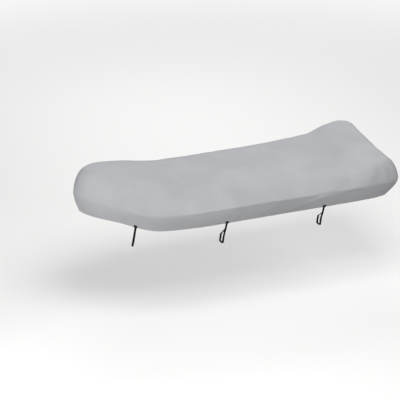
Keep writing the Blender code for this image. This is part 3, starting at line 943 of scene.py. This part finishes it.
def wavesOn(tree, vector, direction, pitch):
    # bands of the given real pitch. A wave of scale 1 repeats every 0.314 m.
    return addNode(tree, "ShaderNodeTexWave",
                   {"wave_type": "BANDS", "bands_direction": direction, "Scale": math.pi / 10 / pitch},
                   {"Vector": vector}).outputs["Fac"]


# Coated polyester, plain woven from fine yarn and then given a thin matt coat: an even, chalky grey
# with faint thicker threads and a soft bloom at glancing angles
def coatedPolyester():
    look = clothLook
    material, tree, surface = newMaterial("coatedPolyester")
    cut = addNode(tree, "ShaderNodeUVMap", {"uv_map": "cut"}).outputs["UV"]
    place = addNode(tree, "ShaderNodeTexCoord").outputs["Object"]

    patches = addNode(tree, "ShaderNodeTexNoise",
                      {"Scale": 1 / look["patchSize"], "Detail": 4.0, "Roughness": 0.55}, {"Vector": place})
    mottle = addNode(tree, "ShaderNodeMapRange",
                     {"From Min": look["patchRange"][0], "From Max": look["patchRange"][1]},
                     {"Value": patches.outputs["Fac"]})
    drawn, fine = 1 / look["slubLength"], look["slubsPerMetre"]
    slubs = []
    for scale in ((drawn, fine, 1), (fine, drawn, 1)):   # along the warp and along the weft
        way = addNode(tree, "ShaderNodeMapping", {"Scale": scale}, {"Vector": cut})
        slubs.append(addNode(tree, "ShaderNodeTexNoise", {"Scale": 1.0, "Detail": 1.0},
                             {"Vector": way.outputs["Vector"]}))
    bothSlubs = addNode(tree, "ShaderNodeMath", {"operation": "ADD"},
                        {0: slubs[0].outputs["Fac"], 1: slubs[1].outputs["Fac"]})
    weave = addNode(tree, "ShaderNodeMath", {"operation": "MULTIPLY"},
                    {0: wavesOn(tree, cut, "X", look["threadPitch"]),
                     1: wavesOn(tree, cut, "Y", look["threadPitch"])})
    grain = addNode(tree, "ShaderNodeMath", {"operation": "ADD"},
                    {0: weave.outputs[0], 1: bothSlubs.outputs[0]})

    tone = addNode(tree, "ShaderNodeMix",
                   {"data_type": "RGBA", 6: hexColour(look["dark"]), 7: hexColour(look["light"])},
                   {0: mottle.outputs["Result"]})
    # colour follows the bump's height: partly the slubs' own unevenness, partly painted shade in the weave's
    # hollows
    slubsAndWeaveShade = addNode(tree, "ShaderNodeMapRange",
                         {"From Min": 0.6, "From Max": 2.2,
                          "To Min": look["slubsAndWeaveShade"][0], "To Max": look["slubsAndWeaveShade"][1]},
                         {"Value": grain.outputs[0]})
    shaded = addNode(tree, "ShaderNodeMix", {"data_type": "RGBA", "blend_type": "MULTIPLY", 0: 1.0},
                     {6: tone.outputs[2], 7: slubsAndWeaveShade.outputs["Result"]})
    rough = addNode(tree, "ShaderNodeMapRange",
                    {"To Min": look["roughness"][0], "To Max": look["roughness"][1]},
                    {"Value": mottle.outputs["Result"]})
    bump = addNode(tree, "ShaderNodeBump",
                   {"Strength": look["weaveStrength"], "Distance": look["weaveHeight"]},
                   {"Height": grain.outputs[0]})
    finishSurface(tree, surface, look["surface"],
                  {"Base Color": shaded.outputs[2], "Roughness": rough.outputs["Result"],
                   "Normal": bump.outputs["Normal"]})
    return material


# Polypropylene webbing, woven from thick black yarn: ribs across its width and a faint waxy gloss, with a
# painted highlight on the ribs' crests that is stronger in random patches
def wovenPolypropylene():
    look = webbingLook
    material, tree, surface = newMaterial("wovenPolypropylene")
    cut = addNode(tree, "ShaderNodeUVMap", {"uv_map": "cut"}).outputs["UV"]
    place = addNode(tree, "ShaderNodeTexCoord").outputs["Object"]
    weave = addNode(tree, "ShaderNodeMath", {"operation": "MULTIPLY"},
                    {0: wavesOn(tree, cut, "Y", look["ribPitch"]),
                     1: wavesOn(tree, cut, "X", look["yarnPitch"])})
    # random patches where the painted highlight on the ribs' crests is stronger
    ridgeHighlightPatches = addNode(tree, "ShaderNodeTexNoise", {"Scale": look["ridgeHighlightPatchScale"], "Detail": 3.0}, {"Vector": place})
    mixed = addNode(tree, "ShaderNodeMath", {"operation": "MULTIPLY"},
                    {0: weave.outputs[0], 1: ridgeHighlightPatches.outputs["Fac"]})
    # the ribs' crests painted lighter: painted highlight
    tone = addNode(tree, "ShaderNodeMix",
                   {"data_type": "RGBA", 6: hexColour(look["dark"]), 7: hexColour(look["light"])},
                   {0: mixed.outputs[0]})
    bump = addNode(tree, "ShaderNodeBump", {"Strength": look["ribStrength"], "Distance": look["ribHeight"]},
                   {"Height": weave.outputs[0]})
    finishSurface(tree, surface, look["surface"],
                  {"Base Color": tone.outputs[2], "Normal": bump.outputs["Normal"]})
    return material


# Bonded polyester thread, twisted: fine slanting highlights from a bump, with painted shade in the hollows
# between the strands
def bondedThread(name, colour):
    look = threadLook
    material, tree, surface = newMaterial(name)
    place = addNode(tree, "ShaderNodeTexCoord").outputs["Object"]
    twist = wavesOn(tree, place, "DIAGONAL", look["twistPitch"])
    # the colour is darker in the twist's hollows: painted shade
    tone = addNode(tree, "ShaderNodeMapRange", {"To Min": look["twistHollowShade"], "To Max": 1.0}, {"Value": twist})
    shaded = addNode(tree, "ShaderNodeMix",
                     {"data_type": "RGBA", "blend_type": "MULTIPLY", 0: 1.0, 6: hexColour(colour)},
                     {7: tone.outputs["Result"]})
    bump = addNode(tree, "ShaderNodeBump",
                   {"Strength": look["twistStrength"], "Distance": look["twistHeight"]}, {"Height": twist})
    finishSurface(tree, surface, look["surface"],
                  {"Base Color": shaded.outputs[2], "Normal": bump.outputs["Normal"]})
    return material


# The cover

clothMaterial = coatedPolyester()
webbingMaterial = wovenPolypropylene()
greyThread = bondedThread("greyBondedThread", threadLook["grey"])
blackThread = bondedThread("blackBondedThread", threadLook["black"])


def dress(piece, material):
    piece.data.materials.append(material)
    return piece


topPanel = dress(makeTopPanel(), clothMaterial)
panelStitches = dress(makeStitches("top_panel_stitches", "cover_cloth", seamLines()), greyThread)
print("top panel made")

skirts, skirtStitches = {}, {}
for name in skirtLengths:
    skirts[name] = dress(makeSkirt(name), clothMaterial)
    skirtStitches[name] = dress(makeStitches(name + "_stitches", "cover_cloth", skirtLines(name)), greyThread)
print("skirt made")

for sideName, side in (("port", port), ("starboard", starboard)):
    for number, (along, toRail, slant) in enumerate(tieSetup["rows"], 1):
        dress(makeTab(f"tab_{sideName}_{number}", side, along), webbingMaterial)
        dress(makeStrap(f"strap_{sideName}_{number}", side, along, toRail, slant), webbingMaterial)
        lines = tabLines(side, along) + strapLines(side, along, toRail, slant)
        dress(makeStitches(f"tie_{sideName}_{number}_stitches", "webbing", lines,
                           stitchSetup["tackPitch"], stitchSetup["tackWidth"]), blackThread)
print("tabs and straps made")


# Floor, lights, camera

bpy.ops.object.select_all(action="DESELECT")
bpy.ops.mesh.primitive_circle_add(vertices=floorSetup["corners"], radius=floorSetup["radius"],
                                  fill_type="NGON", location=(0, 0, toWorld[2] - floorSetup["underSeam"]))
floor = bpy.context.active_object
floor.name = "floor"

# the floor fades out into the white room round it
floorMaterial, floorTree, floorSurface = newMaterial("paleFloor")
floorPlace = addNode(floorTree, "ShaderNodeTexCoord").outputs["Object"]
away = addNode(floorTree, "ShaderNodeVectorMath", {"operation": "LENGTH"}, {0: floorPlace})
there = addNode(floorTree, "ShaderNodeMapRange",
                {"From Min": floorSetup["fade"][0], "From Max": floorSetup["fade"][1],
                 "To Min": floorSetup["solid"], "To Max": 0.0, "interpolation_type": "SMOOTHSTEP"},
                {"Value": away.outputs["Value"]})
finishSurface(floorTree, floorSurface,
              {"Base Color": hexColour(floorSetup["colour"]), "Roughness": floorSetup["roughness"]},
              {"Alpha": there.outputs["Result"]})
floor.data.materials.append(floorMaterial)

for name, box in boxLights.items():
    lamp = bpy.data.lights.new(name, "AREA")
    lamp.size = box["size"]
    lamp.energy = box["watts"]
    light = bpy.data.objects.new(name, lamp)
    light.location = box["place"]
    toAim = Vector(box["aim"]) - Vector(box["place"])
    light.rotation_euler = toAim.to_track_quat("-Z", "Y").to_euler()
    light.visible_camera = False
    bpy.context.scene.collection.objects.link(light)

world = bpy.data.worlds.new("studio")
bpy.context.scene.world = world
world.use_nodes = True
sky = world.node_tree
sky.nodes.clear()
white = (1, 1, 1, 1)
glow = addNode(sky, "ShaderNodeBackground", {"Color": white, "Strength": worldSetup["glow"]})
seen = addNode(sky, "ShaderNodeBackground", {"Color": white, "Strength": worldSetup["seen"]})
rays = addNode(sky, "ShaderNodeLightPath")
both = addNode(sky, "ShaderNodeMixShader", {},
               {0: rays.outputs["Is Camera Ray"], 1: glow.outputs[0], 2: seen.outputs[0]})
addNode(sky, "ShaderNodeOutputWorld", {}, {"Surface": both.outputs[0]})

azimuth, elevation = cameraSetup["azimuth"], cameraSetup["elevation"]
backWay = Vector((math.sin(azimuth) * math.cos(elevation), -math.cos(azimuth) * math.cos(elevation),
                  math.sin(elevation)))
rightWay = Vector((math.cos(azimuth), math.sin(azimuth), 0))
upWay = backWay.cross(rightWay)
seamMiddle = Vector((0, 0, toWorld[2]))
aim = seamMiddle + rightWay * cameraSetup["aimRight"] + upWay * cameraSetup["aimUp"]
lens = bpy.data.cameras.new("camera")
lens.lens = cameraSetup["lens"]
lens.clip_end = cameraSetup["farLimit"]
camera = bpy.data.objects.new("camera", lens)
camera.location = aim + backWay * cameraSetup["distance"]
camera.rotation_euler = (-backWay).to_track_quat("-Z", "Y").to_euler()
bpy.context.scene.collection.objects.link(camera)
bpy.context.scene.camera = camera
print("stage ready")
